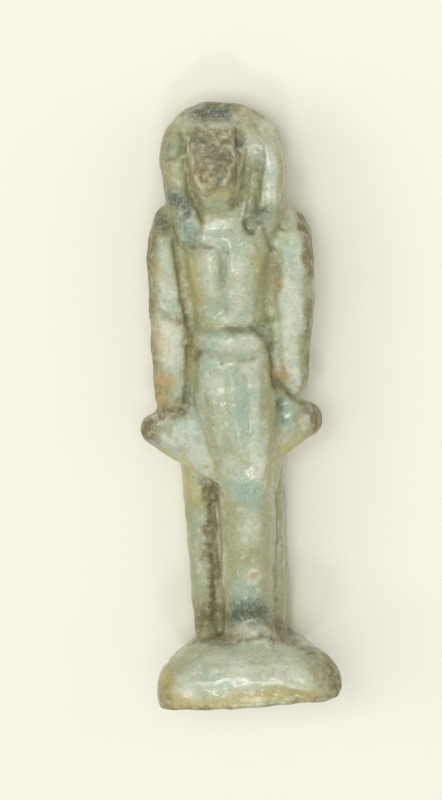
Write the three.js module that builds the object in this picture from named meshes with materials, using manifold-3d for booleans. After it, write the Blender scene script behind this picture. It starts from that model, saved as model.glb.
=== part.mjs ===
// Moulded faience amulet of a striding, animal-headed deity, lying on its back.
// Millimetres. The figure's height runs along +Y, its front faces +Z (up) and +X is the viewer's right.
// Every form is a loft or a stretched sphere; they are fused into the one moulded piece.

import * as THREE from "three";
import { LoftGeometry } from "three/addons/geometries/LoftGeometry.js";
import { mergeVertices } from "three/addons/utils/BufferGeometryUtils.js";
import Module from "manifold-3d";

const wasm = await Module();
wasm.setup();

// Driving dimensions
const CROWN = 39.3; // top of the wig above the underside of the plinth
const BASE_HALF = 6.15;
const BASE_DEPTH = 11.6;
const BASE_TILT = 0.03; // slope of the underside, which was never ground square
const WIG_HALF = 4.05;
const CHEST_HALF = 3.3;
const WAIST_HALF = 2.35;
const FRONT = 8.0; // height of the chest above the back
const PILLAR_HALF = 2.75;
const PILLAR_DEPTH = 2.2;
const CORD_HOLE = 1.5; // diameter of the piercing behind the neck

// Levels along the figure, from the underside
const FOREHEAD = 38.75;
const CHIN = 33.2;
const NECK = 32.2;
const SHOULDER = 32.7;
const BELT_TOP = 25.4;
const BELT_LOW = 23.2;
const HEM = 14.4;
const ANKLE = 4.2;

// The two arms were pressed unevenly: top of the shoulder, outer and inner edges at shoulder, elbow and
// wrist, and level of the wrist
const ARMS = {
  left: { side: -1, top: 32.6, outer: [5.2, 5.35, 5.3], inner: [2.85, 2.3, 2.5], end: 19.1 },
  right: { side: 1, top: 32.1, outer: [5.5, 5.4, 4.9], inner: [2.9, 2.4, 2.85], end: 19.9 },
};

// The clenched hands: middle, and radii across, along and through
const HANDS = {
  left: { middle: [-4.85, 17.4, 4.7], radii: [1.55, 1.1, 1.75] },
  right: { middle: [4.45, 17.7, 4.8], radii: [1.25, 1.15, 1.95] },
};

// The wig's hanging parts: lower end, half width, how far the strip stands out to the side, and how
// high its end stands
const LAPPETS = {
  left: { side: -1, end: 30.95, half: 1.0, out: 0.1, tip: FRONT - 0.25 },
  right: { side: 1, end: 31.3, half: 0.9, out: 0.3, tip: FRONT - 0.8 },
};

const SIDES = 24; // points around a section

const keepSign = (value, power) => Math.sign(value) * Math.abs(value) ** power;

// How far a section has closed, at a distance from an end that is rounded over a length
function endShrink(distance, length) {
  if (length === 0 || distance >= length) return 1;
  const left = 1 - distance / length;
  return Math.max(0.05, Math.sqrt(1 - left * left));
}

// A loft whose sections are superellipses. Each station gives the place along the axis (at), the
// centre (x), the half width and the two depths (low and high); squareness 2 is an ellipse, and taper
// is the share of the width that is lost at the high side.
function loft(axis, stations, { round = [0, 0], steps = 12, sides = SIDES } = {}) {
  const fields = ["x", "half", "low", "high", "squareness", "taper"];
  const filled = stations.map((s) => ({ x: 0, squareness: 2.4, taper: 0, ...s }));
  const track = new THREE.CubicInterpolant(
    filled.map((s) => s.at),
    filled.flatMap((s) => fields.map((f) => s[f])),
    fields.length,
  );
  const start = filled[0].at;
  const end = filled.at(-1).at;
  const sections = [];
  for (let i = 0; i <= steps; i++) {
    const even = i / steps;
    const eased = (1 - Math.cos(Math.PI * even)) / 2;
    const at = THREE.MathUtils.lerp(start, end, (even + 2 * eased) / 3);
    const [x, half, low, high, squareness, taper] = track.evaluate(at);
    const shrink = endShrink(at - start, round[0]) * endShrink(end - at, round[1]);
    const middle = (low + high) / 2;
    const reach = ((high - low) / 2) * shrink;
    sections.push(
      Array.from({ length: sides }, (_, k) => {
        const angle = (k / sides) * 2 * Math.PI;
        const up = keepSign(Math.cos(angle), 2 / squareness);
        const width = half * shrink * (1 - (taper * (1 + up)) / 2);
        const across = x + width * keepSign(Math.sin(angle), 2 / squareness);
        const depth = middle + reach * up;
        return axis === "y" ? new THREE.Vector3(across, at, depth) : new THREE.Vector3(across, -depth, at);
      }),
    );
  }
  return solid(new LoftGeometry(sections, { capStart: true, capEnd: true }));
}

// A loft along the figure's height
const risingLoft = (stations, options) => loft("y", stations, options);

// A loft that points forward: stations give levels (bottom and top) at a height above the back
function forwardLoft(stations, options) {
  const turned = stations.map(({ bottom, top, ...s }) => ({ ...s, low: -top, high: -bottom }));
  return loft("z", turned, options);
}

function solid(geometry) {
  const shape = new THREE.BufferGeometry();
  shape.setAttribute("position", geometry.getAttribute("position"));
  shape.setIndex(geometry.getIndex());
  const merged = mergeVertices(shape, 1e-4);
  return new wasm.Manifold(
    new wasm.Mesh({
      numProp: 3,
      vertProperties: merged.attributes.position.array,
      triVerts: new Uint32Array(merged.index.array),
    }),
  );
}

function ellipsoid(centre, radii, turn = [0, 0, 0]) {
  const geometry = new THREE.SphereGeometry(1, 18, 12);
  geometry.scale(...radii);
  geometry.rotateX(turn[0]).rotateY(turn[1]).rotateZ(turn[2]);
  geometry.translate(...centre);
  return solid(geometry);
}

function box(size, centre, turn = 0) {
  const geometry = new THREE.BoxGeometry(...size);
  geometry.translate(...centre);
  geometry.rotateZ(turn);
  return solid(geometry);
}

// The wig is a hood: a rounded block with a hollow for the face and a scoop above the brow
function wig() {
  const hood = risingLoft(
    [
      { at: NECK - 1.2, half: WIG_HALF - 0.35, low: 1.3, high: 6.3 },
      { at: 33.5, half: WIG_HALF - 0.05, low: 1.1, high: 6.5 },
      { at: 36.2, x: -0.1, half: WIG_HALF - 0.05, low: 1.0, high: 6.9, squareness: 2.9 },
      { at: CROWN, x: -0.35, half: WIG_HALF - 0.3, low: 1.0, high: 6.6, squareness: 2.9 },
    ],
    { round: [0, 3.2], steps: 16 },
  );
  const face = ellipsoid([-0.1, 35.7, 7.6], [2.6, 3.4, 1.35]);
  const scoop = ellipsoid([-0.4, 39.0, 6.6], [1.6, 1.2, 1.7]);
  return hood.subtract(face).subtract(scoop);
}

// A blunt wedge: its top face narrows from the brow to the nose and its front slopes back to the chin
function muzzle() {
  return forwardLoft(
    [
      { at: 4.2, x: -0.25, half: 2.0, bottom: CHIN - 0.6, top: FOREHEAD - 0.3, squareness: 3, taper: 0.3 },
      { at: 6.5, x: -0.3, half: 2.0, bottom: CHIN - 0.3, top: FOREHEAD, squareness: 3.4, taper: 0.3 },
      { at: 8.0, x: -0.4, half: 1.65, bottom: CHIN + 0.1, top: FOREHEAD - 0.45, squareness: 3.4, taper: 0.3 },
      { at: 9.5, x: -0.5, half: 1.36, bottom: CHIN + 1.3, top: FOREHEAD - 1.05, squareness: 3, taper: 0.2 },
      { at: 10.6, x: -0.55, half: 1.06, bottom: CHIN + 2.3, top: FOREHEAD - 1.55, squareness: 2.6 },
      { at: 11.35, x: -0.55, half: 0.8, bottom: CHIN + 2.9, top: FOREHEAD - 1.9, squareness: 2.4 },
    ],
    { round: [0, 0.7], steps: 12 },
  );
}

// The throat fills the space between the chin and the lappets
function throat() {
  return risingLoft(
    [
      { at: 31.2, x: -0.1, half: 2.0, low: 3, high: FRONT - 0.2, squareness: 3 },
      { at: 33.5, x: 0.05, half: 2.35, low: 3, high: FRONT - 0.75, squareness: 3.4 },
      { at: 37, x: 0.15, half: 2.6, low: 3, high: FRONT - 1.25, squareness: 3.4 },
    ],
    { steps: 6, sides: 16 },
  );
}

// One hanging part of the wig, a flat strip from the temple down onto the chest
function lappet({ side, end, half, out, tip }) {
  return risingLoft(
    [
      { at: end, x: side * (2.05 + out), half, low: 4, high: tip, squareness: 3.4 },
      { at: 33, x: side * (2.4 + out), half: half + 0.05, low: 4, high: FRONT - 0.35, squareness: 3.2 },
      { at: 35.2, x: side * (2.85 + out / 2), half, low: 3, high: FRONT - 0.7, squareness: 2.8 },
      { at: 36.8, x: side * 2.85, half: half - 0.05, low: 3, high: FRONT - 1.1 },
      { at: 38.4, x: side * 2.2, half: half - 0.2, low: 3, high: FRONT - 2 },
    ],
    { round: [0.35, 1.2], steps: 14, sides: 18 },
  );
}

function torso() {
  const chest = risingLoft(
    [
      { at: BELT_LOW, half: WAIST_HALF, low: 1.2, high: FRONT - 0.3 },
      { at: 26.3, half: WAIST_HALF + 0.2, low: 1.2, high: FRONT - 0.35, squareness: 2.7 },
      { at: 28.5, half: 2.85, low: 1.1, high: FRONT, squareness: 2.7 },
      { at: 31, half: CHEST_HALF, low: 1.0, high: FRONT + 0.05, squareness: 2.6 },
      { at: SHOULDER + 0.3, half: CHEST_HALF + 0.3, low: 1.0, high: FRONT - 0.6 },
    ],
    { round: [0, 1.6], steps: 14 },
  );
  const medianGroove = ellipsoid([-0.25, 29.3, FRONT + 0.12], [0.28, 2.5, 0.42]);
  return chest.subtract(medianGroove);
}

// Solid ground behind the arms, so that the gaps beside the waist are grooves and not openings
function ground() {
  return risingLoft(
    [
      { at: HEM + 1, half: 2.5, low: 0.6, high: 4.6, squareness: 4 },
      { at: 19, half: 3.9, low: 0.7, high: 6.3, squareness: 4 },
      { at: 26, half: 3.9, low: 0.8, high: 6.4, squareness: 4 },
      { at: SHOULDER, half: 3.8, low: 1.0, high: 6.3, squareness: 4 },
    ],
    { steps: 8, sides: 18 },
  );
}

function arm({ side, top, outer, inner, end }) {
  const [shoulder, elbow, wrist] = outer.map((edge, i) => ({
    x: (side * (edge + inner[i])) / 2,
    half: (edge - inner[i]) / 2,
  }));
  return risingLoft(
    [
      { ...wrist, at: end - 0.3, low: 2.2, high: 6.5 },
      { ...wrist, at: 21.5, low: 1.8, high: 6.8, squareness: 2.7 },
      { ...elbow, at: 25, low: 1.6, high: 6.9, squareness: 2.7 },
      { ...shoulder, at: 30, low: 1.5, high: 7.0, squareness: 2.7 },
      { at: top, x: shoulder.x - side * 0.3, half: shoulder.half - 0.1, low: 1.6, high: 6.6 },
    ],
    { round: [0.8, 2.2], steps: 14 },
  );
}

// The kilt: a raised belt over the waist, a skirt front that follows the leading thigh, and wings
// that run out to the hands above a hem that climbs on both sides
function kilt() {
  const front = risingLoft(
    [
      { at: HEM - 1.2, x: 0.55, half: 2.0, low: 1.0, high: FRONT + 0.35 },
      { at: 17, x: 0.3, half: 2.75, low: 1.0, high: FRONT + 0.45, squareness: 2.6 },
      { at: 20, x: 0.05, half: 2.9, low: 1.0, high: FRONT + 0.35, squareness: 2.8 },
      { at: BELT_LOW, x: 0.0, half: 2.75, low: 1.0, high: FRONT + 0.2, squareness: 2.8 },
      { at: BELT_TOP - 0.3, x: 0.1, half: 2.5, low: 1.0, high: FRONT + 0.1, squareness: 2.8 },
    ],
    { steps: 12 },
  );
  const belt = risingLoft(
    [
      { at: BELT_LOW, x: 0.05, half: 2.85, low: 2, high: FRONT + 0.4, squareness: 2.7 },
      { at: BELT_TOP, x: 0.1, half: 2.7, low: 2, high: FRONT + 0.4, squareness: 2.7 },
    ],
    { round: [0.7, 0.6], steps: 8 },
  );
  const wings = risingLoft(
    [
      { at: HEM, x: -0.3, half: 4.2, low: 1.0, high: 7.5, squareness: 2 },
      { at: 16.5, x: -0.4, half: 5.5, low: 1.6, high: 7.4, squareness: 2.1 },
      { at: 17.9, x: -0.4, half: 5.5, low: 2.0, high: 7.3, squareness: 2.1 },
      { at: 19.4, x: -0.25, half: 4.3, low: 2.0, high: 6.9, squareness: 2.1 },
      { at: 21, x: 0, half: 3.4, low: 1.6, high: 6.6, squareness: 2.2 },
    ],
    { steps: 10 },
  );
  const leftTrimmed = wings.subtract(belowHem(-1, [-1.2, HEM - 0.15], 0.5));
  const trimmed = leftTrimmed.subtract(belowHem(1, [1.6, HEM + 0.75], 0.48));
  return front.add(belt).add(trimmed);
}

// A block below a sloping hem line that starts at a point and climbs outwards
function belowHem(side, [x, level], slope) {
  const long = 14;
  const block = new THREE.BoxGeometry(long, long, 2 * long);
  block.translate((side * long) / 2, -long / 2, 0);
  block.rotateZ(side * Math.atan(slope));
  block.translate(x, level, 0);
  return solid(block);
}

function strideLeg() {
  return risingLoft(
    [
      { at: 1.5, x: 0.15, half: 1.75, low: 1.0, high: 7.8, squareness: 2.4 },
      { at: 6, x: 0.15, half: 1.75, low: 1.0, high: 7.8, squareness: 2.4 },
      { at: 11, x: 0.4, half: 1.9, low: 1.0, high: 8.2, squareness: 2.4 },
      { at: 17, x: 0.5, half: 2.05, low: 1.0, high: 8.4 },
    ],
    { steps: 10 },
  );
}

function rearLeg() {
  return risingLoft(
    [
      { at: 0.8, x: -2.7, half: 0.85, low: 0.9, high: 5.0 },
      { at: 7, x: -2.75, half: 0.95, low: 0.9, high: 5.1 },
      { at: 13, x: -2.75, half: 1.12, low: 0.9, high: 5.3 },
      { at: 17, x: -2.7, half: 1.3, low: 0.9, high: 5.8 },
    ],
    { steps: 8, sides: 18 },
  );
}

// The unpierced filling between the legs and the back pillar
function filling() {
  return risingLoft(
    [
      { at: 0.8, x: 0.3, half: 2.25, low: 0.5, high: 4.8, squareness: 3 },
      { at: 10, x: 0.4, half: 2.35, low: 0.5, high: 5.2, squareness: 3 },
      { at: 17, x: 0.5, half: 2.6, low: 0.5, high: 5.6, squareness: 3 },
    ],
    { steps: 6, sides: 18 },
  );
}

function backPillar() {
  const shoulder = 1.2;
  const top = NECK + 1.6;
  const outline = new THREE.Shape()
    .moveTo(-PILLAR_HALF, 0.6)
    .lineTo(PILLAR_HALF, 0.6)
    .lineTo(PILLAR_HALF, top - shoulder)
    .quadraticCurveTo(PILLAR_HALF, top, PILLAR_HALF - shoulder, top)
    .lineTo(shoulder - PILLAR_HALF, top)
    .quadraticCurveTo(-PILLAR_HALF, top, -PILLAR_HALF, top - shoulder)
    .closePath();
  const options = { depth: PILLAR_DEPTH, bevelEnabled: false, curveSegments: 5 };
  return solid(new THREE.ExtrudeGeometry(outline, options));
}

// A low mound: domed sections that widen to the front, cut off flat by the underside
function plinth() {
  const mound = forwardLoft(
    [
      { at: 0, x: -0.3, half: BASE_HALF - 2.0, bottom: -1.4, top: 1.4, squareness: 1.7 },
      { at: 3.5, x: -0.25, half: BASE_HALF - 0.9, bottom: -2.4, top: 2.4, squareness: 1.8 },
      { at: 7.5, half: BASE_HALF, bottom: -3.3, top: 3.3, squareness: 2.2 },
      { at: 10, half: BASE_HALF - 0.1, bottom: -2.9, top: 2.9, squareness: 2.8 },
      { at: BASE_DEPTH, half: BASE_HALF - 0.5, bottom: -2.3, top: 2.3, squareness: 3.2 },
    ],
    { round: [0, 0.7], steps: 14, sides: 36 },
  );
  const long = 40;
  return mound.subtract(box([long, long, long], [0, -long / 2, 0], BASE_TILT));
}

// The leading foot shows only as a swelling in front of the ankle
function instep() {
  return ellipsoid([0.65, ANKLE - 0.9, 7.4], [1.25, 1.5, 0.95]);
}

function cordHole() {
  const bore = new THREE.CylinderGeometry(CORD_HOLE / 2, CORD_HOLE / 2, 20, 12);
  bore.rotateZ(Math.PI / 2);
  bore.translate(0, NECK, CORD_HOLE);
  return solid(bore);
}

function figure() {
  const paired = ["left", "right"].flatMap((side) => [
    lappet(LAPPETS[side]),
    arm(ARMS[side]),
    ellipsoid(HANDS[side].middle, HANDS[side].radii),
  ]);
  const forms = [
    ...paired, muzzle(), throat(), torso(), ground(), kilt(), strideLeg(), rearLeg(), filling(), backPillar(),
    plinth(), instep(),
  ];
  const body = forms.reduce((whole, form) => whole.add(form), wig());
  return body.subtract(cordHole());
}

function geometryOf(manifold) {
  const { numProp, vertProperties, triVerts } = manifold.getMesh();
  const geometry = new THREE.BufferGeometry();
  const interleaved = new THREE.InterleavedBuffer(vertProperties, numProp);
  geometry.setAttribute("position", new THREE.InterleavedBufferAttribute(interleaved, 3, 0));
  geometry.setIndex(new THREE.BufferAttribute(triVerts, 1));
  return geometry;
}

const glaze = new THREE.MeshStandardMaterial({ color: 0x9fb3a2, roughness: 0.35, metalness: 0 });
const amulet = new THREE.Mesh(geometryOf(figure()), glaze);
amulet.name = "amulet";

// The origin is below the middle of the piece, on the surface that it lies on
const middle = new THREE.Box3().setFromObject(amulet).getCenter(new THREE.Vector3());
amulet.position.set(-middle.x, -middle.y, 0);

const group = new THREE.Group();
group.add(amulet);
export default group;
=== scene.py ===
# %% [markdown]
# # A worn faience amulet, dressed step by step
# The object is a moulded figure of a striding, animal-headed deity, about 4 cm tall, in one piece of
# glazed quartz paste. It lies on its back. The measured solid comes in as a fixed frame, and this
# lesson lays the soft, worn, glazed surface over a copy of it.

# %% Load the measured solid
import math

import bpy
import numpy as np
from mathutils import Matrix, Vector, noise


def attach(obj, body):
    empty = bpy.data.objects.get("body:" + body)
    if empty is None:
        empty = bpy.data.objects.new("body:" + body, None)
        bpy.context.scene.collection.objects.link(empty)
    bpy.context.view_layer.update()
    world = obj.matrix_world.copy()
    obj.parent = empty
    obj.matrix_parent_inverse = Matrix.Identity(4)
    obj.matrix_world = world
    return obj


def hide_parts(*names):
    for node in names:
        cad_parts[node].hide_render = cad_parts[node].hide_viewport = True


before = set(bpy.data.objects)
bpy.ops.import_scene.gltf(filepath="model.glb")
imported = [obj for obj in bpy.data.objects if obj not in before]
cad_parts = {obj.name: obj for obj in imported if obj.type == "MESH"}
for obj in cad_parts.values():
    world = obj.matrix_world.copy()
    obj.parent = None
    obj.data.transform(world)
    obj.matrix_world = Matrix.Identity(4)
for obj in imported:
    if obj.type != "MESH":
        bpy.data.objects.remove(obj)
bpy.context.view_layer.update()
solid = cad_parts["amulet"]
MM = 0.001

# %% [markdown]
# ## The viewpoint
# The camera looks down on the lying figure from a little beyond its head, with a long lens, and is
# rolled so that the head leans to the left. Its axes are worked out once as vectors, because the
# carving below uses the same view: a mark is placed where it shows from here, as an engraver looks
# at a drawing while cutting.

# %% Camera
FRAME_WIDTH, FRAME_HEIGHT = 442, 800  # pixels of the picture
LOOK_FROM_HEAD = math.radians(20)  # tilt from straight above, towards the head
LOOK_FROM_RIGHT = math.radians(2)
ROLL = math.radians(3.1)
DISTANCE = 400 * MM
PIXEL = 0.0658 * MM  # size of a picture pixel at the aim point
AIM = np.array([0, 0, 4 * MM])
AIM_PIXEL = (234, 391)  # where the aim point falls in the picture
SENSOR = 36.0

toward_camera = np.array([
    math.sin(LOOK_FROM_RIGHT) * math.cos(LOOK_FROM_HEAD),
    math.sin(LOOK_FROM_HEAD),
    math.cos(LOOK_FROM_RIGHT) * math.cos(LOOK_FROM_HEAD),
])
level_right = np.array([math.cos(LOOK_FROM_RIGHT), 0, -math.sin(LOOK_FROM_RIGHT)])
level_up = np.cross(toward_camera, level_right)
picture_right = level_right * math.cos(ROLL) - level_up * math.sin(ROLL)
picture_up = level_right * math.sin(ROLL) + level_up * math.cos(ROLL)


def picture_place(points):
    """Pixel columns and rows at which points of the figure show."""
    offset = points - AIM
    spread = DISTANCE / (DISTANCE - offset @ toward_camera) / PIXEL
    column = AIM_PIXEL[0] + (offset @ picture_right) * spread
    row = AIM_PIXEL[1] - (offset @ picture_up) * spread
    return np.stack([column, row], axis=1)


def add_camera():
    centre = (
        AIM
        + picture_right * (FRAME_WIDTH / 2 - AIM_PIXEL[0]) * PIXEL
        + picture_up * (AIM_PIXEL[1] - FRAME_HEIGHT / 2) * PIXEL
    )
    bpy.ops.object.camera_add()
    camera = bpy.context.object
    camera.name = "viewpoint"
    turn = Matrix((picture_right, picture_up, toward_camera)).transposed().to_4x4()
    camera.matrix_world = Matrix.Translation(Vector(centre + toward_camera * DISTANCE)) @ turn
    camera.data.sensor_width = SENSOR
    camera.data.lens = SENSOR * DISTANCE / (FRAME_HEIGHT * PIXEL)
    camera.data.clip_start = 0.01
    bpy.context.scene.camera = camera
    return camera


camera = add_camera()
print("lens", round(camera.data.lens, 1), "mm")

# %% [markdown]
# ## Table and light
# The figure lies on cream paper under soft studio light, so the shadows are short and faint. A pale
# world gives even light, and a large softbox near the camera keeps most of the shadow behind the
# figure. The two side softboxes model the form, and two small lamps give the glaze its highlights.

# %% Paper and lights
bpy.context.scene.view_settings.view_transform = "Standard"
PAPER_SIZE = 1.2
PAPER_COLOUR = (0.93, 0.91, 0.79, 1)
WORLD_STRENGTH = 0.42

# Each softbox: place in m, size in m, power in W
SOFTBOXES = {
    "overhead softbox": ((-0.05, 0.22, 0.78), (0.4, 0.4), 2.45),
    "left softbox": ((-0.42, 0.1, 0.5), (0.4, 0.4), 0.75),
    "right softbox": ((0.45, 0.15, 0.5), (0.5, 0.5), 0.35),
    "foot lamp": ((-0.02, -0.27, 0.74), (0.1, 0.1), 0.42),
    "head lamp": ((-0.1, 0.3, 0.7), (0.1, 0.1), 0.3),
}


def add_paper():
    bpy.ops.object.select_all(action="DESELECT")
    bpy.ops.mesh.primitive_plane_add(size=PAPER_SIZE)
    paper = bpy.context.object
    paper.name = "paper"
    finish = bpy.data.materials.new("cream paper")
    finish.use_nodes = True
    shader = finish.node_tree.nodes["Principled BSDF"]
    shader.inputs["Base Color"].default_value = PAPER_COLOUR
    shader.inputs["Roughness"].default_value = 0.9
    shader.inputs["Specular IOR Level"].default_value = 0.1
    paper.data.materials.append(finish)


def add_softbox(name, place, size, power):
    bpy.ops.object.light_add(type="AREA", location=place)
    light = bpy.context.object
    light.name = name
    light.data.shape = "RECTANGLE"
    light.data.size, light.data.size_y = size
    light.data.energy = power
    light.rotation_euler = (-Vector(place)).to_track_quat("-Z", "Y").to_euler()


def add_world(strength):
    world = bpy.data.worlds.new("studio")
    world.use_nodes = True
    background = world.node_tree.nodes["Background"]
    background.inputs["Color"].default_value = (1, 1, 1, 1)
    background.inputs["Strength"].default_value = strength
    bpy.context.scene.world = world


add_paper()
add_world(WORLD_STRENGTH)
for softbox, (place, size, power) in SOFTBOXES.items():
    add_softbox(softbox, place, size, power)
print("lights:", ", ".join(SOFTBOXES))

# %% [markdown]
# ## The pressed body
# Paste pressed into a mould and coated with thick glaze has no sharp inner corners. A copy of the
# solid is merged, remeshed into even small quads, and smoothed, which melts the joins between arm,
# body and wig together as glaze does. Cutting the corners by bevels would leave straight facets.

# %% Copy, remesh and melt
VOXEL = 0.1 * MM
SMOOTHING = 0.5  # share by which each round of smoothing evens a vertex out
MELT_ROUNDS = 6


def activate(piece):
    bpy.ops.object.select_all(action="DESELECT")
    piece.select_set(True)
    bpy.context.view_layer.objects.active = piece


def apply_modifier(piece, kind, **settings):
    activate(piece)
    modifier = piece.modifiers.new(kind.title(), kind)
    for name, value in settings.items():
        setattr(modifier, name, value)
    bpy.ops.object.modifier_apply(modifier=modifier.name)


def copy_of_solid():
    activate(solid)
    bpy.ops.object.duplicate()
    piece = bpy.context.object
    piece.name = "glazed_figure"
    piece.data.materials.clear()
    bpy.ops.object.mode_set(mode="EDIT")
    bpy.ops.mesh.select_all(action="SELECT")
    bpy.ops.mesh.remove_doubles(threshold=0.001 * MM)
    bpy.ops.object.mode_set(mode="OBJECT")
    return piece


def remesh(piece):
    apply_modifier(piece, "REMESH", mode="VOXEL", voxel_size=VOXEL, use_smooth_shade=True)


figure = copy_of_solid()
remesh(figure)
apply_modifier(figure, "SMOOTH", factor=SMOOTHING, iterations=MELT_ROUNDS)
print("quads after remesh:", len(figure.data.polygons))

# %% [markdown]
# ## Glaze in the hollows
# Glaze runs off the ridges and gathers in the hollows, so the grooves beside the arms are shallower
# than the mould made them. Swelling the skin until the narrow grooves close, remeshing, and shrinking
# it back by the same amount fills the grooves and leaves the open forms as they were.

# %% Fill the hollows
POOL_REACH = 0.24 * MM
SETTLE_ROUNDS = 14


def fill_grooves(piece, reach):
    for step in (reach, -reach):
        apply_modifier(piece, "DISPLACE", strength=step, mid_level=0)
        remesh(piece)


fill_grooves(figure, POOL_REACH)
apply_modifier(figure, "SMOOTH", factor=SMOOTHING, iterations=SETTLE_ROUNDS)
print("quads after filling:", len(figure.data.polygons))

# %% [markdown]
# ## The skin as numbers
# A carver judges depth with a fingertip. Here the places and normals of the vertices are read as
# plain arrays, changed, and written back. Cloud noise gives small shifts, so that no mark gets a
# ruled edge.

# %% Places on the surface
def vertex_places(piece):
    flat = np.empty(len(piece.data.vertices) * 3, dtype=np.float32)
    piece.data.vertices.foreach_get("co", flat)
    return flat.reshape(-1, 3).astype(float)


def vertex_normals(piece):
    flat = np.empty(len(piece.data.vertices) * 3, dtype=np.float32)
    piece.data.vertex_normals.foreach_get("vector", flat)
    return flat.reshape(-1, 3).astype(float)


def set_places(piece, places):
    piece.data.vertices.foreach_set("co", places.astype(np.float32).ravel())
    piece.data.update()


def shake(piece, size, reach):
    """Small uneven shifts in pixels."""
    shifts = [noise.noise_vector(Vector(place) / size)[:2] for place in vertex_places(piece)]
    return np.array(shifts) * reach


# %% [markdown]
# ## Lines in the picture
# A mark is drawn as a line or a spot in the picture. Its effect fades with the distance from that
# line, and where the surface turns away from the viewer.

# %% Strokes
def rise(value, low, high):
    """A soft step from 0 at low to 1 at high."""
    share = np.clip((value - low) / (high - low), 0, 1)
    return share * share * (3 - 2 * share)


def line_distance(pixels, points):
    """Pixels from each place to a line through points, or to a single point."""
    corners = np.array(points, dtype=float)
    nearest = np.linalg.norm(pixels - corners[0], axis=1)
    for start, end in zip(corners, corners[1:]):
        step = end - start
        along = np.clip(((pixels - start) @ step) / (step @ step), 0, 1)
        foot = start + along[:, None] * step
        nearest = np.minimum(nearest, np.linalg.norm(pixels - foot, axis=1))
    return nearest


def stroke(pixels, width, points):
    return np.exp(-((line_distance(pixels, points) / width) ** 2))


def facing(piece):
    return rise(vertex_normals(piece) @ toward_camera, 0.05, 0.35)

# %% [markdown]
# ## Carving
# The mould maker cut brows, belt and furrows with a point, and wear added chips and pits. Plates are
# low raised fields, such as the top of the muzzle. Marks push the surface in (or out, where the depth
# is negative) only where it faces the viewer, which keeps the hidden sides plain.

# %% Plates and marks
MUZZLE_OUTLINE = [
    (187, 136), (190, 128), (200, 124), (207, 128), (216, 124), (233, 126), (231, 138), (231, 147),
    (235, 158), (231, 172), (224, 184), (214, 192), (204, 197), (196, 182), (191, 163), (188, 147),
]
MUZZLE_SIDE = [(233, 126), (242, 136), (241, 160), (238, 184), (226, 186), (232, 168), (231, 140)]

# Each plate: height in mm, softness of its border in pixels, corners in the picture
PLATES = {
    "muzzle": (0.16, 1.5, MUZZLE_OUTLINE),
    "left lappet": (0.12, 3, [
        (168, 190), (184, 188), (197, 212), (203, 243), (186, 247), (177, 244), (173, 225),
    ]),
    "right lappet": (0.1, 3, [
        (262, 136), (275, 135), (283, 160), (283, 200), (280, 228), (262, 228), (256, 205), (259, 180),
    ]),
    "left breast": (0.13, 3.5, [
        (188, 250), (203, 246), (215, 248), (219, 262), (219, 300), (214, 318), (200, 318), (191, 300),
    ]),
    "right breast": (0.1, 3, [
        (228, 246), (245, 240), (257, 245), (260, 270), (258, 300), (252, 318), (230, 316), (225, 290),
    ]),
    "belt": (0.1, 3.5, [
        (195, 334), (212, 334), (224, 331), (250, 332), (260, 334), (266, 344), (264, 356), (240, 358),
        (210, 356), (193, 350),
    ]),
    "apron": (0.1, 4, [
        (206, 395), (228, 388), (262, 385), (270, 400), (272, 440), (266, 475), (240, 488), (222, 480),
        (212, 450),
    ]),
}

# Each mark: depth in mm, width in pixels, points in the picture
FACE_MARKS = {
    "brow hollow": (0.3, 5.5, [(192, 117), (206, 115), (224, 115), (238, 119)]),
    "brow notch": (0.12, 3, [(207, 120), (208, 130)]),
    "left brow": (-0.1, 4, [(192, 128), (201, 126)]),
    "right brow": (-0.1, 4, [(216, 126), (232, 127)]),
    "eye hole": (0.45, 4, [(239, 140), (239, 146)]),
    "muzzle hollow": (0.14, 8, [(206, 150), (222, 162)]),
    "left edge": (-0.1, 2, [(187, 140), (191, 163), (196, 181), (204, 196)]),
    "right edge": (-0.1, 2, [(232, 138), (231, 148), (235, 158), (231, 172), (224, 184)]),
    "right side": (0.12, 3, [(237, 155), (236, 170), (230, 184)]),
    "outer right edge": (-0.1, 2, [(242, 150), (240, 172), (236, 205)]),
    "left nostril": (0.15, 3, [(198, 181)]),
    "right nostril": (0.15, 3, [(221, 180)]),
    "upper pit": (0.12, 3, [(196, 141)]),
    "middle pit": (0.1, 2.5, [(210, 152), (214, 156)]),
    "lower pit": (0.1, 2.5, [(205, 168)]),
    "lip": (0.1, 2.5, [(204, 198), (214, 195), (228, 194)]),
    "chin": (-0.08, 7, [(214, 207), (226, 207)]),
    "chin pit": (0.1, 3, [(232, 204)]),
}
WIG_MARKS = {
    "crown rim": (-0.12, 3, [(184, 113), (198, 106), (220, 104), (240, 108), (254, 117)]),
    "face rim": (0.12, 2, [(238, 112), (249, 118), (257, 127), (262, 138), (261, 165), (257, 200)]),
    "temple seam": (0.06, 1.8, [(246, 148), (262, 152)]),
    "ear crease": (0.22, 2.5, [(178, 132), (182, 142), (182, 152), (174, 158), (161, 161)]),
    "ear": (-0.18, 8, [(172, 148)]),
    "lappet slash": (0.3, 2, [(179, 221), (191, 214)]),
    "right channel": (0.06, 2.5, [(251, 150), (250, 190), (247, 215)]),
    "inner channel": (0.08, 2, [(245, 160), (243, 200), (240, 215)]),
    "channel head": (-0.15, 7, [(250, 148), (256, 142)]),
    "left channel": (0.1, 2.5, [(184, 160), (188, 180), (194, 200), (203, 222)]),
    "right lappet end": (0.2, 3, [(246, 222), (249, 231), (254, 226)]),
}
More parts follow.
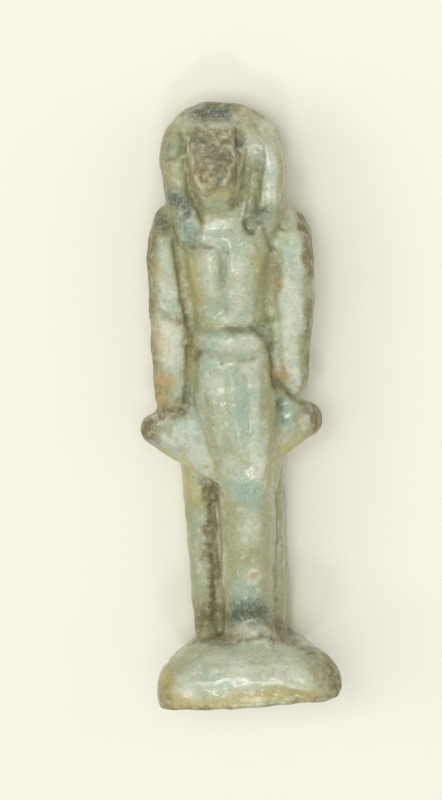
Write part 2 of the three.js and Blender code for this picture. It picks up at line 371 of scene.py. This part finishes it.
BODY_MARKS = {
    "left arm groove": (0.18, 2.5, [(172, 205), (174, 240), (181, 290), (186, 315), (190, 335)]),
    "left forearm groove": (0.18, 2.5, [(190, 335), (188, 375), (186, 405)]),
    "right shoulder": (0.16, 3, [(258, 224), (267, 233), (273, 250)]),
    "shoulder ring": (0.12, 2.5, [(280, 228), (285, 230)]),
    "median furrow": (0.03, 3, [(222, 252), (223, 275), (224, 300), (225, 318)]),
    "chest pit": (0.25, 1.8, [(226, 253)]),
    "breast ridge": (-0.08, 3, [(208, 262), (211, 285), (209, 306)]),
    "waist": (0.1, 4, [(226, 327), (238, 329), (252, 327)]),
    "left waist": (0.06, 4, [(192, 330), (206, 330), (222, 327)]),
    "right waist": (0.18, 3, [(252, 327), (261, 332), (267, 340), (270, 350)]),
    "right arm groove": (0.14, 2.5, [(270, 350), (273, 375), (277, 384)]),
    "belt line": (-0.06, 2.5, [(222, 351), (240, 353), (256, 352)]),
    "below belt": (0.07, 3, [(206, 358), (228, 362), (256, 361)]),
    "under belt": (0.14, 4, [(190, 361), (195, 355), (204, 353)]),
    "belly pit": (0.2, 1.8, [(222, 364)]),
}
LOWER_MARKS = {
    "left wrist": (0.22, 4, [(160, 416), (172, 418), (182, 412)]),
    "right wrist": (0.2, 4, [(276, 382), (283, 390), (292, 397), (300, 402)]),
    "right hip hollow": (0.35, 6, [(284, 404), (285, 420)]),
    "left fist": (-0.25, 9, [(151, 430)]),
    "left fist neck": (0.12, 4, [(164, 420), (165, 434)]),
    "right fist": (-0.35, 9, [(307, 418)]),
    "fist neck": (0.15, 4, [(294, 408), (293, 424), (298, 434)]),
    "left fold": (0.12, 5, [(203, 400), (208, 430), (216, 462)]),
    "left pleat": (-0.08, 4, [(231, 378), (233, 405), (239, 435), (246, 462)]),
    "middle pleat": (0.08, 4, [(247, 380), (248, 410), (251, 440)]),
    "right pleat": (-0.08, 4, [(259, 380), (259, 410), (256, 440)]),
    "hem": (-0.08, 5, [(240, 484), (252, 487), (264, 482)]),
    "strip groove": (0.15, 3, [(277, 470), (276, 540), (278, 600)]),
    "strip edge": (-0.08, 2, [(281, 462), (283, 500), (281, 540), (284, 585), (288, 620)]),
    "shin ridge": (-0.1, 2.5, [(219, 492), (221, 540), (222, 580), (226, 615)]),
    "round chip": (0.1, 5, [(254, 578)]),
    "chip rim": (-0.06, 1.8, [
        (246, 578), (250, 572), (258, 571), (262, 578), (258, 585), (250, 585), (246, 578),
    ]),
    "oval chip": (0.1, 3, [(284, 584), (284, 596)]),
    "ankle": (0.2, 7, [(236, 619), (250, 620), (264, 618)]),
    "instep": (-0.15, 6, [(246, 632), (252, 633)]),
    "knee pit": (0.2, 2.2, [(227, 514)]),
    "plinth ridge": (-0.12, 4, [(235, 687), (255, 683), (280, 684), (310, 690)]),
    "plinth front": (0.08, 5, [(245, 697), (280, 695), (310, 697)]),
}

# %% [markdown]
# ## Cutting the marks
# The plates are raised first, as the mould has them, and the marks are cut into them after that.
# Where two marks cross, only the deeper one counts, as with a real point.

# %% Raise and carve
MARK_SHAKE = (0.7 * MM, 1.6)  # size of a waver, and its reach in pixels


def plate(pixels, softness, corners):
    """1 inside a polygon and 0 outside, with a soft border."""
    x, y = pixels.T
    inside = np.zeros(len(pixels), dtype=bool)
    for (x0, y0), (x1, y1) in zip(corners, corners[1:] + corners[:1]):
        if y0 != y1:
            crossing = x0 + (y - y0) * (x1 - x0) / (y1 - y0)
            inside ^= ((y0 > y) != (y1 > y)) & (x < crossing)
    border = line_distance(pixels, corners + corners[:1])
    return rise(np.where(inside, border, -border), -softness, softness)


def push(piece, depth):
    """Move the facing surface inwards by a depth in mm."""
    sunk = vertex_normals(piece) * (depth * MM * facing(piece))[:, None]
    set_places(piece, vertex_places(piece) - sunk)


def raise_plates(piece, plates):
    pixels = picture_place(vertex_places(piece)) + shake(piece, *MARK_SHAKE)
    push(piece, -sum(height * plate(pixels, soft, corners) for height, soft, corners in plates.values()))


def carve(piece, marks):
    pixels = picture_place(vertex_places(piece)) + shake(piece, *MARK_SHAKE)
    cuts = [depth * stroke(pixels, width, points) for depth, width, points in marks.values()]
    push(piece, np.max(cuts, axis=0).clip(0) + np.min(cuts, axis=0).clip(None, 0))


raise_plates(figure, PLATES)
print("raised:", ", ".join(PLATES))
for marks in (FACE_MARKS, WIG_MARKS, BODY_MARKS, LOWER_MARKS):
    carve(figure, marks)
    print("carved:", ", ".join(marks))

# %% [markdown]
# ## Lumps of the glaze
# Thick glaze ran and gathered while it was fired, so no face is even. Cloud noise at three sizes
# moves the surface by hundredths of a millimetre, which is what breaks up the highlights. It is put
# into the mesh, not only into the shading, so that the outline wavers too.

# %% Lumpy skin
LUMPS = ((2.4 * MM, 0.2 * MM), (1.2 * MM, 0.13 * MM), (0.5 * MM, 0.025 * MM))  # sizes and heights
LUMP_ROUNDS = 2


def add_lumps(piece, size, height):
    texture = bpy.data.textures.new("lumps", "CLOUDS")
    texture.noise_scale = size
    texture.noise_depth = 1
    apply_modifier(
        piece, "DISPLACE", texture=texture, texture_coords="LOCAL", strength=height, mid_level=0.5
    )


for size, height in LUMPS:
    add_lumps(figure, size, height)
apply_modifier(figure, "SMOOTH", factor=SMOOTHING, iterations=LUMP_ROUNDS)
print("lump sizes in mm:", [round(size / MM, 2) for size, height in LUMPS])

# %% [markdown]
# ## Where the colour comes from
# Glaze is pale where it is thick and brown where it has worn from the edges. The narrow creases get
# dirt and painted shade, the broad hollows pooled olive glaze and painted shade, and the sideways
# flanks painted shade. Hollows and rims come from the same comparison of a vertex with its
# neighbourhood. They are kept on the mesh as named masks.

# %% Hollows and edges
CREASE_ROUNDS = 16  # a narrow neighbourhood
VALLEY_ROUNDS = 160  # a wide one


def keep_mask(piece, name, values):
    layer = piece.data.attributes.new(name, "FLOAT", "POINT")
    layer.data.foreach_set("value", np.clip(values, 0, 1).astype(np.float32))
    print(f"mask {name}: mean {values.mean():.3f}, most {values.max():.2f}")


def neighbour_table(piece):
    """Up to six neighbours of each vertex; gaps hold the vertex itself."""
    edges = np.empty(len(piece.data.edges) * 2, dtype=np.int32)
    piece.data.edges.foreach_get("vertices", edges)
    edges = edges.reshape(-1, 2)
    both = np.concatenate([edges, edges[:, ::-1]])
    both = both[np.argsort(both[:, 0], kind="stable")]
    count = np.bincount(both[:, 0], minlength=len(piece.data.vertices))
    rank = np.arange(len(both)) - np.repeat(np.cumsum(count) - count, count)
    table = np.repeat(np.arange(len(count))[:, None], 6, axis=1)
    kept = rank < 6
    table[both[kept, 0], rank[kept]] = both[kept, 1]
    return table


def hollowness(piece, table, rounds):
    """How deep a vertex lies below its surroundings, in mm (negative on edges)."""
    places = vertex_places(piece)
    spread = places
    for _ in range(rounds):
        spread = spread[table].mean(axis=1)
    return ((spread - places) * vertex_normals(piece)).sum(axis=1) / MM


table = neighbour_table(figure)
crease = hollowness(figure, table, CREASE_ROUNDS)
valley = hollowness(figure, table, VALLEY_ROUNDS)
normals = vertex_normals(figure)
upward = normals[:, 2]
sideways = np.abs(normals[:, 0])
# The crease mask lays dirt and painted shade into the narrow creases.
keep_mask(figure, "crease", rise(crease, 0.012, 0.09))
# The valley mask lays olive glaze pooled in the broad hollows, and painted shade there.
keep_mask(figure, "valley", rise(valley, 0.03, 0.4))
keep_mask(figure, "rim", rise(-valley, 0.1, 0.5) * (1 - rise(upward, 0.5, 0.9)))
# The flank mask is painted shade: surfaces that turn sideways are later mixed towards olive, so the sides
# look darker.
keep_mask(figure, "flank", rise(sideways, 0.3, 0.95))

# %% [markdown]
# ## Stains, painted shade and painted highlights of this one piece
# Burial left brown, olive and ochre stains, and the glaze has bluer pools, pale edges, dull arms and
# chips that show the paste. Painted shade goes into grooves, pits and corners, and painted highlights
# onto crests. No rule gives their places, so each is a soft stroke given one by one.

# %% Stains, painted shade and painted highlights
# Each entry: strength, width in pixels, points in the picture
# Brown stains and worn patches, and painted shade in the leg groove, the left arm groove, the left wrist
# and cuff, the corners at the ankles and the plinth's back, and the chin pit.
BROWN_STAINS_AND_SHADE = {
    "upper muzzle": (0.9, 12, [(204, 142), (226, 142)]),
    "middle muzzle": (0.95, 11, [(208, 158), (226, 162)]),
    "lower muzzle": (0.7, 7, [(198, 178), (218, 180)]),
    "left shoulder": (1.0, 13, [(156, 212), (161, 226)]),
    "left arm edge": (1.0, 9, [(147, 236), (146, 300), (149, 360), (154, 405)]),
    "right arm edge": (1.0, 6, [(302, 218), (310, 245), (312, 275)]),
    "right forearm edge": (0.8, 5, [(311, 300), (309, 350), (306, 385)]),
    "left fist": (1.0, 14, [(147, 426), (150, 434)]),
    "right fist": (1.0, 11, [(316, 408), (319, 426)]),
    "right fist top": (0.6, 7, [(302, 404), (312, 412)]),
    "left wrist": (0.85, 7, [(160, 414), (182, 411)]),
    "left forearm": (0.55, 9, [(160, 380), (166, 404)]),
    "leg groove": (0.95, 6, [(214, 488), (213, 560), (212, 600), (208, 630)]),
    "rear leg blots": (0.8, 5, [(206, 486), (205, 498)]),
    "rear leg stain": (0.8, 6, [(207, 530), (206, 555)]),
    "rear ankle": (1.0, 13, [(196, 626), (210, 612)]),
    "right ankle": (0.9, 8, [(274, 624), (288, 632)]),
    "crown": (0.85, 5, [(183, 110), (215, 103), (240, 106), (258, 115)]),
    "wig left edge": (0.6, 5, [(166, 130), (162, 160), (166, 190)]),
    "plinth right": (1.0, 12, [(330, 658), (337, 688)]),
    "plinth back": (0.75, 6, [(196, 640), (240, 637), (285, 640), (314, 653)]),
    "plinth foot": (0.7, 4, [(165, 708), (240, 712), (300, 704), (335, 694)]),
    "plinth left": (0.5, 9, [(160, 688), (166, 704)]),
    "left elbow": (0.55, 6, [(160, 312), (183, 320)]),
    "left breast": (0.55, 5, [(190, 250), (213, 247)]),
    "left groove": (0.6, 3, [(183, 300), (188, 330), (187, 345)]),
    "left cuff": (0.6, 5, [(176, 400), (184, 404)]),
    "right channel line": (0.6, 2, [(245, 165), (243, 205)]),
    "face line": (0.5, 2, [(258, 160), (256, 205)]),
    "chin pit": (0.7, 4, [(232, 204)]),
    "right cuff": (0.5, 5, [(276, 372), (288, 378)]),
    "right elbow": (0.5, 4, [(274, 268), (276, 290)]),
    "strip edge": (0.2, 3, [(288, 500), (286, 560), (288, 600)]),
}
# Dark stains on the lappets, the left shoulder and the muzzle. The rest is painted shade: in the scoop
# under the crown, the eye hole, nostril and brow pit, the lappet notch, the waist, the leg and arm
# grooves, and over the ankle.
DARK_STAINS_AND_SHADE = {
    "scoop": (1.0, 9, [(195, 113), (224, 112)]),
    "left lappet": (1.0, 10, [(176, 198), (185, 206)]),
    "left lappet end": (0.5, 9, [(186, 226), (195, 240)]),
    "left shoulder": (0.7, 9, [(160, 222)]),
    "right lappet": (0.75, 9, [(254, 214), (264, 210)]),
    "right lappet end": (0.8, 5, [(247, 226), (252, 232)]),
    "eye hole": (0.9, 5, [(239, 143)]),
    "ankle": (1.0, 13, [(236, 614), (262, 613)]),
    "waist": (0.4, 5, [(230, 328), (252, 328)]),
    "right waist": (0.5, 5, [(256, 329), (268, 342)]),
    "nostril": (0.7, 4, [(220, 180)]),
    "brow pit": (0.6, 5, [(194, 140), (204, 142)]),
    "muzzle": (0.45, 8, [(212, 154), (222, 162)]),
    "leg groove": (0.4, 3, [(215, 495), (215, 600)]),
    "right groove": (0.5, 3, [(270, 350), (274, 380), (284, 392)]),
}
# Olive stains on the wig, legs, plinth and chest, and painted shade in the grooves beside the arms, at
# the waist and under the belt, in the kilt fold, and on the right flank and kilt side.
OLIVE_STAINS_AND_SHADE = {
    "wig left": (0.9, 13, [(174, 130), (170, 170), (178, 190)]),
    "wig top": (0.8, 9, [(176, 122), (190, 110)]),
    "wig right": (0.85, 9, [(240, 114), (258, 132)]),
    "wig right edge": (0.6, 4, [(278, 140), (284, 165), (284, 200)]),
    "right channel": (0.65, 8, [(250, 160), (249, 208)]),
    "throat": (0.7, 9, [(210, 214), (232, 218)]),
    "left channel": (0.8, 5, [(186, 140), (188, 180), (198, 215)]),
    "chin": (0.2, 8, [(206, 204), (230, 206)]),
    "shin": (0.9, 15, [(230, 510), (232, 570), (262, 545)]),
    "lower shin": (0.6, 10, [(226, 590), (228, 615)]),
    "lower shin right": (0.6, 8, [(268, 560), (268, 612)]),
    "rear leg": (0.9, 10, [(190, 500), (196, 560), (200, 620)]),
    "strip": (0.5, 4, [(280, 470), (280, 540), (284, 620)]),
    "right flank": (0.55, 8, [(264, 240), (267, 285), (260, 320)]),
    "left groove": (0.95, 5, [(172, 205), (174, 240), (181, 290), (186, 315), (188, 375), (186, 405)]),
    "right groove": (0.8, 5, [(268, 340), (274, 378), (284, 392)]),
    "waist": (0.7, 5, [(206, 329), (236, 328), (252, 326), (266, 336)]),
    "under belt": (0.8, 5, [(188, 360), (204, 353)]),
    "plinth left": (0.95, 12, [(158, 690), (176, 664), (196, 645)]),
    "plinth right": (0.8, 10, [(316, 662), (322, 692)]),
    "kilt fold": (0.5, 5, [(205, 410), (212, 445), (218, 468)]),
    "kilt right": (0.6, 7, [(268, 385), (274, 450)]),
    "lap": (0.45, 6, [(228, 385), (224, 455)]),
    "lap spots": (0.6, 5, [(226, 436), (230, 452), (250, 470)]),
    "chest": (0.5, 6, [(252, 258), (256, 284)]),
    "left chest": (0.7, 6, [(192, 275), (196, 296)]),
    "right shoulder": (0.3, 9, [(274, 224), (298, 226)]),
}
OCHRE_STAINS = {
    "plinth front": (1.0, 8, [(238, 697), (275, 694), (312, 697)]),
    "plinth lower front": (0.9, 9, [(172, 704), (240, 704)]),
    "plinth left": (0.9, 12, [(163, 682), (172, 700)]),
    "rear leg": (0.7, 9, [(188, 480), (198, 500)]),
    "hem": (0.7, 3, [(160, 450), (185, 463), (210, 481)]),
    "right hip": (1.0, 11, [(290, 452), (314, 440)]),
    "lower muzzle": (1.0, 9, [(203, 182), (214, 193), (226, 190)]),
    "muzzle side": (0.7, 4, [(192, 165), (198, 182)]),
    "chin": (0.35, 8, [(208, 200), (230, 200)]),
    "left breast": (0.6, 7, [(190, 262), (196, 300)]),
    "right breast": (0.5, 5, [(256, 258), (257, 285)]),
    "left arm": (0.5, 7, [(155, 265), (160, 272)]),
    "left forearm": (0.9, 8, [(158, 378), (168, 402)]),
}
BLUE_STAINS = {
    "left thigh": (0.8, 9, [(188, 395), (195, 430), (180, 430)]),
    "lap": (0.6, 11, [(243, 394), (240, 425)]),
    "right hip": (1.0, 8, [(283, 402), (284, 422)]),
    "shin": (0.9, 12, [(250, 498), (240, 486)]),
    "lower shin": (0.8, 12, [(245, 594), (250, 602)]),
    "belly": (0.6, 7, [(214, 340), (208, 375)]),
    "left ear": (0.8, 7, [(172, 146)]),
    "right lappet": (0.6, 7, [(268, 150), (268, 185)]),
    "left lappet": (0.8, 8, [(178, 205), (190, 235)]),
    "left upper arm": (0.6, 7, [(162, 246), (168, 300)]),
    "right upper arm": (0.5, 8, [(292, 250), (296, 330)]),
    "throat": (0.6, 7, [(212, 232), (225, 240)]),
    "furrow": (0.3, 4, [(222, 255), (224, 315)]),
    "plinth": (0.4, 10, [(225, 690), (200, 680)]),
    "rear leg": (0.4, 6, [(196, 590), (194, 515)]),
}
# Pale worn edges on the crown and muzzle, and a pale chip rim. The rest are painted highlights on the
# right lappet, chest, belt, arms, fist sides, shin, instep, and the plinth's top and ridge.
PALE_EDGES_AND_HIGHLIGHTS = {
    "crown rim": (0.7, 2.5, [(184, 116), (186, 111), (200, 106)]),
    "right crown": (0.7, 3, [(244, 109), (256, 116), (266, 126)]),
    "left muzzle": (0.75, 2, [(187, 136), (190, 155), (195, 178), (203, 196)]),
    "right muzzle": (0.6, 2, [(231, 140), (231, 149), (235, 159), (231, 172), (224, 184)]),
    "outer muzzle": (0.8, 2, [(242, 150), (240, 172), (236, 205)]),
    "brow": (0.6, 3, [(191, 129), (202, 125), (216, 125), (234, 127)]),
    "right lappet": (0.8, 8, [(270, 145), (272, 165)]),
    "right lappet low": (0.6, 8, [(268, 180), (274, 195)]),
    "shin ridge": (0.8, 2.5, [(219, 485), (220, 540), (222, 600)]),
    "shin face": (0.5, 7, [(254, 520), (258, 545)]),
    "instep": (0.7, 5, [(243, 632), (254, 632)]),
    "chip rim": (1.0, 2, [(249, 575), (255, 572), (261, 577), (257, 584), (250, 582), (249, 575)]),
    "left arm": (0.7, 9, [(160, 325), (165, 355)]),
    "right arm": (0.6, 8, [(292, 290), (292, 330)]),
    "plinth top": (0.7, 10, [(245, 654), (290, 662)]),
    "belt": (0.6, 6, [(222, 342), (256, 345)]),
    "left fist side": (0.6, 6, [(166, 440), (172, 444)]),
    "right fist side": (0.7, 5, [(298, 412), (304, 420)]),
    "left chest": (0.7, 6, [(207, 264), (210, 290)]),
    "right chest": (0.7, 9, [(238, 262), (240, 305)]),
    "plinth ridge": (0.6, 3, [(238, 686), (255, 683), (280, 684), (308, 690)]),
}
ROSY_CHIPS = {
    "right elbow": (0.9, 4.5, [(273, 281), (279, 285)]),
    "right cuff": (0.9, 5, [(281, 373), (286, 377)]),
    "shin chip": (0.8, 4, [(252, 578), (257, 578)]),
    "left forearm": (1.0, 6, [(157, 378), (169, 380)]),
    "left cuff": (0.95, 6, [(161, 402)]),
    "left elbow": (0.5, 5, [(172, 276)]),
    "left arm": (0.6, 8, [(160, 340), (165, 350)]),
    "upper left arm": (0.5, 6, [(158, 272), (176, 282)]),
}
MATTE_AREAS = {
    "left arm": (1.0, 18, [(160, 230), (158, 300), (162, 400)]),
    "right arm": (1.0, 18, [(294, 235), (296, 300), (294, 380)]),
    "wig": (0.7, 16, [(172, 130), (170, 190), (182, 235)]),
    "rear leg": (0.8, 14, [(196, 480), (202, 625)]),
    "shin": (0.5, 20, [(236, 520), (240, 600)]),
    "plinth ends": (0.6, 16, [(164, 690), (172, 670)]),
    "crown": (0.7, 12, [(200, 112), (250, 120)]),
}

# %% [markdown]
# ## Laying the stains, painted shade and painted highlights on
# Two sizes of waver make the border of each mask creep as a liquid does. The masks fade on the side
# that is turned away, where nothing is known of them.

# %% Masks of stains, painted shade and painted highlights
BROAD_WAVER = (0.9 * MM, 5)  # size of a waver, and its reach in pixels
FINE_WAVER = (0.3 * MM, 2.5)


def paint_mask(piece, name, marks, areas=()):
    """Strokes and outlined areas, the strongest of them at each place."""
    pixels = picture_place(vertex_places(piece)) + shake(piece, *BROAD_WAVER) + shake(piece, *FINE_WAVER)
    shades = [strength * stroke(pixels, width, points) for strength, width, points in marks.values()]
    shades += [strength * plate(pixels, softness, corners) for strength, softness, corners in areas]
    turned_away = rise(-vertex_normals(piece) @ toward_camera, 0.0, 0.4)
    keep_mask(piece, name, np.max(shades, axis=0) * (1 - turned_away))


paint_mask(figure, "brown", BROWN_STAINS_AND_SHADE, [(0.75, 6, MUZZLE_OUTLINE), (0.8, 4, MUZZLE_SIDE)])
paint_mask(figure, "dark", DARK_STAINS_AND_SHADE)
paint_mask(figure, "olive", OLIVE_STAINS_AND_SHADE)
paint_mask(figure, "ochre", OCHRE_STAINS)
paint_mask(figure, "blue", BLUE_STAINS)
paint_mask(figure, "pale", PALE_EDGES_AND_HIGHLIGHTS)
paint_mask(figure, "rosy", ROSY_CHIPS)
paint_mask(figure, "matte", MATTE_AREAS)

# %% [markdown]
# ## The glaze
# The colours were matched to old copper glaze: pale grey-green, bluer where it is thick, ochre
# and brown where the paste shows. A small helper class keeps the shader readable: each method adds
# one node and returns its output.

# %% Glaze colours and shader helpers
def tone(red, green, blue):
    """A display colour as the linear values that the shader takes."""
    return (*(((c / 255 + 0.055) / 1.055) ** 2.4 for c in (red, green, blue)), 1)


PALE_GLAZE = tone(210, 214, 190)
GREEN_GLAZE = tone(174, 184, 152)
BLUE_GLAZE = tone(150, 178, 164)
# The olive colour is both a tone of the glaze and the painted shade on flanks, hollows and grooves.
OLIVE_GLAZE_AND_SHADE = tone(160, 157, 110)
OCHRE = tone(188, 174, 108)
BUFF = tone(158, 148, 110)
BROWN = tone(122, 110, 70)
UMBER = tone(76, 70, 46)
DARK = tone(84, 92, 74)
ROSY = tone(194, 164, 118)
# The dirt colour also serves as painted shade in the creases.
DIRT_AND_SHADE = tone(106, 98, 62)
# The shell colour paints pale edges and painted highlights.
SHELL_AND_HIGHLIGHT = tone(226, 222, 198)
CHALK = tone(228, 229, 210)
RAGGEDNESS = 3.0  # how strongly noise breaks up a stain


class GlazeGraph:
    """Small helpers that add shader nodes and return their output sockets."""

    def __init__(self, material):
        self.nodes = material.node_tree.nodes
        self.links = material.node_tree.links
        self.place = self.nodes.new("ShaderNodeTexCoord").outputs["Object"]

    def feed(self, socket, value):
        if isinstance(value, bpy.types.NodeSocket):
            self.links.new(value, socket)
        else:
            socket.default_value = value

    def noise(self, scale, detail=3.0, roughness=0.55, seed=0):
        node = self.nodes.new("ShaderNodeTexNoise")
        node.noise_dimensions = "4D"
        self.links.new(self.place, node.inputs["Vector"])
        node.inputs["W"].default_value = seed
        node.inputs["Scale"].default_value = scale
        node.inputs["Detail"].default_value = detail
        node.inputs["Roughness"].default_value = roughness
        return node.outputs["Fac"]

    def mask(self, name):
        node = self.nodes.new("ShaderNodeAttribute")
        node.attribute_name = name
        return node.outputs["Fac"]

    def maths(self, operation, first, second):
        node = self.nodes.new("ShaderNodeMath")
        node.operation = operation
        self.feed(node.inputs[0], first)
        self.feed(node.inputs[1], second)
        return node.outputs[0]

    def soft_step(self, value, low, high, top=1.0):
        node = self.nodes.new("ShaderNodeMapRange")
        node.interpolation_type = "SMOOTHSTEP"
        self.feed(node.inputs["Value"], value)
        node.inputs["From Min"].default_value = low
        node.inputs["From Max"].default_value = high
        node.inputs["To Max"].default_value = top
        return node.outputs["Result"]

    def mix(self, under, over, share):
        node = self.nodes.new("ShaderNodeMixRGB")
        self.feed(node.inputs["Fac"], share)
        self.feed(node.inputs["Color1"], under)
        self.feed(node.inputs["Color2"], over)
        return node.outputs["Color"]

    def ragged(self, name, noise, top=1.0):
        """A mask that noise breaks up, with no hard rim."""
        swing = self.maths("MULTIPLY", self.maths("SUBTRACT", noise, 0.5), RAGGEDNESS)
        uneven = self.maths("MULTIPLY", self.mask(name), self.maths("ADD", swing, 1.0))
        return self.maths("MULTIPLY", self.maths("MINIMUM", self.maths("MAXIMUM", uneven, 0.0), 1.0), top)

# %% [markdown]
# ## Layers of colour
# Layers are mixed in the order in which they came: glaze, painted shade on the flanks and in the
# hollows, stains, wear, pale edges with painted highlights, and dirt with painted shade in the creases.
# Noise on the object's own coordinates gives each layer a ragged edge. Worn and dull places are
# rougher than the glaze.

# %% Glaze material
GLAZE_ROUGHNESS = 0.12
WEAR_ROUGHNESS = 0.35
UNEVEN_ROUGHNESS = 0.16
BUMP_STRENGTH = 0.2
BUMP_HEIGHT = 0.05 * MM


def glaze_material():
    material = bpy.data.materials.new("worn faience glaze")
    material.use_nodes = True
    graph = GlazeGraph(material)
    cloud = graph.noise(300, 3)
    mottle = graph.noise(1000, 4, 0.6, seed=2.4)
    tint = graph.noise(1300, 4, 0.6, seed=5.6)
    patch = graph.noise(2300, 5, 0.65, seed=1.5)
    fleck = graph.noise(4600, 4, 0.65, seed=8.5)
    grain = graph.noise(7000, 3, 0.6, seed=4.3)
    pits = graph.noise(2600, 1, seed=3.5)

    colour = graph.mix(PALE_GLAZE, GREEN_GLAZE, graph.soft_step(cloud, 0.36, 0.64))
    colour = graph.mix(colour, BLUE_GLAZE, graph.soft_step(mottle, 0.44, 0.68, 0.5))
    colour = graph.mix(colour, OLIVE_GLAZE_AND_SHADE, graph.soft_step(tint, 0.5, 0.72, 0.6))
    colour = graph.mix(colour, CHALK, graph.soft_step(patch, 0.47, 0.3, 0.55))
    # Painted shade: olive on the sideways flanks.
    colour = graph.mix(colour, OLIVE_GLAZE_AND_SHADE, graph.ragged("flank", patch, 0.8))
    # Olive glaze pooled in the broad hollows, and painted shade in them.
    colour = graph.mix(colour, OLIVE_GLAZE_AND_SHADE, graph.ragged("valley", patch, 0.8))
    # Olive stains, and painted shade in the grooves and on the right flank.
    colour = graph.mix(colour, OLIVE_GLAZE_AND_SHADE, graph.ragged("olive", patch, 0.8))
    colour = graph.mix(colour, BLUE_GLAZE, graph.ragged("blue", patch, 0.6))
    colour = graph.mix(colour, OCHRE, graph.ragged("ochre", patch, 0.85))
    # One worn colour serves the worn rims, the brown patches, and the painted shade that the brown mask
    # holds.
    worn_and_shade = graph.mix(BUFF, BROWN, graph.soft_step(patch, 0.3, 0.58))
    worn_and_shade = graph.mix(worn_and_shade, UMBER, graph.soft_step(fleck, 0.48, 0.68, 0.5))
    worn_and_shade = graph.mix(worn_and_shade, CHALK, graph.soft_step(fleck, 0.4, 0.26, 0.25))
    colour = graph.mix(colour, worn_and_shade, graph.ragged("rim", patch, 0.8))
    # Brown stains and wear, and painted shade in grooves and at the ankles.
    colour = graph.mix(colour, worn_and_shade, graph.ragged("brown", patch, 0.95))
    # Dark stains, and painted shade in the pits, grooves and hollows.
    colour = graph.mix(colour, DARK, graph.ragged("dark", fleck, 0.95))
    # Pale edges, and painted highlights on the crests.
    colour = graph.mix(colour, SHELL_AND_HIGHLIGHT, graph.ragged("pale", fleck, 0.5))
    colour = graph.mix(colour, ROSY, graph.ragged("rosy", fleck, 0.6))
    # Dirt and painted shade in the narrow creases. The next line adds dirt specks.
    colour = graph.mix(colour, DIRT_AND_SHADE, graph.ragged("crease", patch, 0.6))
    colour = graph.mix(colour, DIRT_AND_SHADE, graph.soft_step(grain, 0.55, 0.72, 0.55))
    colour = graph.mix(colour, CHALK, graph.soft_step(grain, 0.44, 0.28, 0.3))
    colour = graph.mix(colour, UMBER, graph.soft_step(pits, 0.74, 0.8, 0.7))

    shader = material.node_tree.nodes["Principled BSDF"]
    graph.links.new(colour, shader.inputs["Base Color"])
    wear = graph.maths("MAXIMUM", graph.mask("brown"), graph.mask("matte"))
    rough = graph.maths("MULTIPLY", wear, WEAR_ROUGHNESS)
    rough = graph.maths("ADD", rough, graph.soft_step(patch, 0.3, 0.7, UNEVEN_ROUGHNESS))
    graph.links.new(graph.maths("ADD", rough, GLAZE_ROUGHNESS), shader.inputs["Roughness"])
    bump = graph.nodes.new("ShaderNodeBump")
    bump.inputs["Strength"].default_value = BUMP_STRENGTH
    bump.inputs["Distance"].default_value = BUMP_HEIGHT
    graph.links.new(graph.noise(2600, 4, 0.6, seed=6.5), bump.inputs["Height"])
    graph.links.new(bump.outputs["Normal"], shader.inputs["Normal"])
    return material


figure.data.materials.append(glaze_material())
print("material:", figure.data.materials[0].name)

# %% [markdown]
# ## A lighter back
# The even mesh is finer than the plain back needs. Decimation thins the part that faces away, and
# leaves the front as it is, so that the whole piece stays a handy size.

# %% Thin the hidden side
HIDDEN_SHARE = 0.5


def thin_hidden_side(piece, ratio):
    turned_away = 1 - rise(vertex_normals(piece) @ toward_camera, -0.2, 0.15)
    group = piece.vertex_groups.new(name="hidden")
    for index, weight in enumerate(turned_away):
        if weight > 0:
            group.add([index], weight, "REPLACE")
    apply_modifier(piece, "DECIMATE", ratio=ratio, vertex_group=group.name, vertex_group_factor=1000)
    piece.vertex_groups.clear()


def triangle_count(piece):
    return sum(len(face.vertices) - 2 for face in piece.data.polygons)


before = triangle_count(figure)
thin_hidden_side(figure, HIDDEN_SHARE)
print("triangles:", before, "thinned to", triangle_count(figure))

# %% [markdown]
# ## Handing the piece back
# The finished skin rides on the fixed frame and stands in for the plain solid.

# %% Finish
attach(figure, "root")
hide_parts("amulet")
